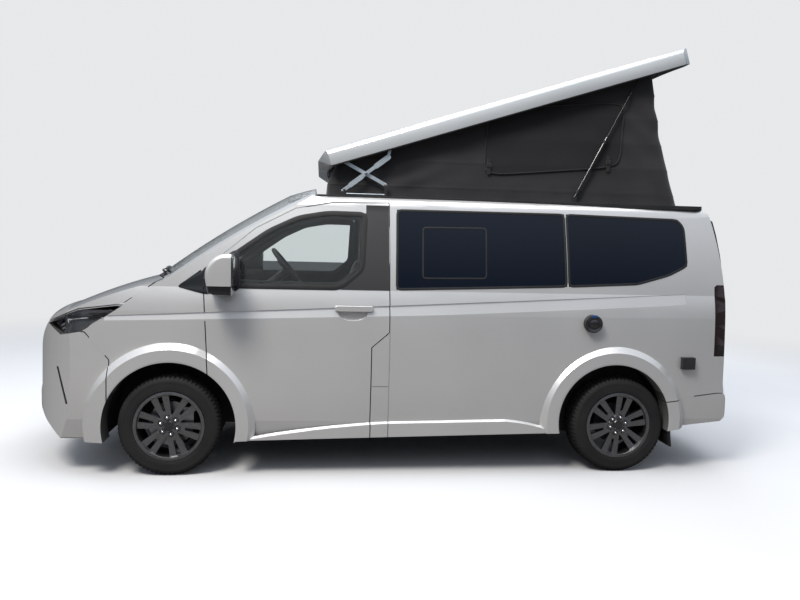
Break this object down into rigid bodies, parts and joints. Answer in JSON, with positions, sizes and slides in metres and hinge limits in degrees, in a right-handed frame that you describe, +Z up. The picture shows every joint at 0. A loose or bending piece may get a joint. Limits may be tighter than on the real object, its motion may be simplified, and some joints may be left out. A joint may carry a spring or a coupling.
{
  "type": "camper van",
  "caption": "Camper van with a raised lifting roof on scissor links, cloth tent walls, opening doors, bonnet and tailgate, steered front wheels and side windows.",
  "frame": {"origin": "on the ground under the middle of the van", "axes": "+X towards the tail, +Y towards the van's right side, +Z up"},
  "size_m": [5.0494, 2.48, 3.0465],
  "materials": {
    "body_paint": "pearl silver-white gloss",
    "bumper_paint": "pearl silver-white gloss",
    "lid_paint": "silver-white gloss",
    "black_trim": "fine grain black",
    "rim_graphite": "dark graphite lacquer",
    "tyre_rubber": "black",
    "clear_glass": "clear",
    "privacy_glass": "dark privacy tint",
    "lamp_glass": "clear lens",
    "tail_red": "red lens",
    "tent_cloth": "charcoal woven cloth",
    "link_bar": "grey-blue satin",
    "strut_black": "black gloss",
    "rod_chrome": "bright",
    "chassis": "black underbody coat",
    "floor_steel": "dark grey",
    "iron": "raw",
    "steel": "raw",
    "seat_cloth": "dark grey",
    "cabin_board": "light laminate",
    "cabin_plastic": "black soft grain"
  },
  "bodies": {
    "root": {"body_shell": "body_paint", "cabin_furniture": "cabin_board", "outer_trim": "black_trim", "dashboard": "cabin_plastic", "engine_block": "iron", "floor_pan": "floor_steel", "front_bumper": "bumper_paint", "front_seats": "seat_cloth", "grille": "black_trim", "headlamps": "lamp_glass", "mud_flaps": "black_trim", "rear_bumper": "bumper_paint", "roof_rim": "black_trim", "roof_panel": "body_paint", "side_glass": "privacy_glass", "sliding_door": "body_paint", "suspension": "chassis", "tail_lamps": "tail_red", "tank_and_exhaust": "chassis", "tent": "tent_cloth", "windscreen": "clear_glass"},
    "bonnet": {"bonnet": "body_paint"},
    "door_left": {"front_door_left": "body_paint", "door_glass_left": "clear_glass", "mirror_left": "body_paint"},
    "door_right": {"front_door_right": "body_paint", "door_glass_right": "clear_glass", "mirror_right": "body_paint"},
    "tailgate": {"tailgate": "body_paint", "tailgate_glass": "privacy_glass"},
    "lift_bars": {"lift_bars": "link_bar"},
    "cross_bars": {"cross_bars": "link_bar"},
    "roof_lid": {"roof_lid": "lid_paint"},
    "strut_tubes": {"strut_tubes": "strut_black"},
    "strut_rods": {"strut_rods": "rod_chrome"},
    "knuckle_left": {"knuckle_left": "steel"},
    "knuckle_right": {"knuckle_right": "steel"},
    "wheel_front_left": {"rim_front_left": "rim_graphite", "tyre_front_left": "tyre_rubber"},
    "wheel_front_right": {"rim_front_right": "rim_graphite", "tyre_front_right": "tyre_rubber"},
    "wheel_rear_left": {"rim_rear_left": "rim_graphite", "tyre_rear_left": "tyre_rubber"},
    "wheel_rear_right": {"rim_rear_right": "rim_graphite", "tyre_rear_right": "tyre_rubber"}
  },
  "joints": [
    {"name": "roof_lift", "type": "hinge", "parent": "root", "child": "roof_lid", "pos_m": [-1.05003, 0, 1.96715], "axis": [0, 1, 0], "range_deg": [0, 17.8], "deforming": ["tent"]},
    {"name": "lift_turn", "type": "hinge", "parent": "root", "child": "lift_bars", "pos_m": [-0.397, 0, 1.934], "axis": [0, 1, 0], "range_deg": [0, 37.72]},
    {"name": "cross_turn", "type": "hinge", "parent": "roof_lid", "child": "cross_bars", "pos_m": [-0.397, 0, 2.142], "axis": [0, 1, 0], "range_deg": [-45.2, 0]},
    {"name": "strut_turn", "type": "hinge", "parent": "root", "child": "strut_tubes", "pos_m": [1.266, 0, 1.934], "axis": [0, 1, 0], "range_deg": [0, 62.9]},
    {"name": "rod_slide", "type": "slide", "parent": "strut_tubes", "child": "strut_rods", "axis": [0.4557, 0, 0.8901], "range_m": [-0.41446, 0]},
    {"name": "door_left_hinge", "type": "hinge", "parent": "root", "child": "door_left", "pos_m": [-1.302, -1.016, 0.9], "axis": [0, 0, -1], "range_deg": [0, 70]},
    {"name": "door_right_hinge", "type": "hinge", "parent": "root", "child": "door_right", "pos_m": [-1.302, 1.016, 0.9], "axis": [0, 0, 1], "range_deg": [0, 70]},
    {"name": "bonnet_hinge", "type": "hinge", "parent": "root", "child": "bonnet", "pos_m": [-1.57, 0, 1.316], "axis": [0, 1, 0], "range_deg": [0, 43]},
    {"name": "tailgate_hinge", "type": "hinge", "parent": "root", "child": "tailgate", "pos_m": [2.336, 0, 1.874], "axis": [0, -1, 0], "range_deg": [0, 85]},
    {"name": "steering", "type": "hinge", "parent": "root", "child": "knuckle_left", "pos_m": [-1.52, -0.8, 0.335], "axis": [0, 0, 1], "range_deg": [-35, 35]},
    {"name": "steering_right", "type": "hinge", "parent": "root", "child": "knuckle_right", "pos_m": [-1.52, 0.8, 0.335], "axis": [0, 0, 1], "range_deg": [-35, 35]},
    {"name": "wheel_front_left_spin", "type": "hinge", "parent": "knuckle_left", "child": "wheel_front_left", "pos_m": [-1.52, -0.8675, 0.335], "axis": [0, 1, 0], "continuous": true},
    {"name": "wheel_front_right_spin", "type": "hinge", "parent": "knuckle_right", "child": "wheel_front_right", "pos_m": [-1.52, 0.8675, 0.335], "axis": [0, 1, 0], "continuous": true},
    {"name": "wheel_rear_left_spin", "type": "hinge", "parent": "root", "child": "wheel_rear_left", "pos_m": [1.58, -0.8675, 0.335], "axis": [0, 1, 0], "continuous": true},
    {"name": "wheel_rear_right_spin", "type": "hinge", "parent": "root", "child": "wheel_rear_right", "pos_m": [1.58, 0.8675, 0.335], "axis": [0, 1, 0], "continuous": true}
  ],
  "couplings": [
    {"joint": "lift_turn", "follows": "roof_lift", "ratio": 2.1185},
    {"joint": "cross_turn", "follows": "roof_lift", "ratio": -2.5388},
    {"joint": "strut_turn", "follows": "roof_lift", "ratio": 3.5332},
    {"joint": "rod_slide", "follows": "roof_lift", "m_per_rad": -1.3334},
    {"joint": "steering_right", "follows": "steering", "ratio": 1}
  ]
}
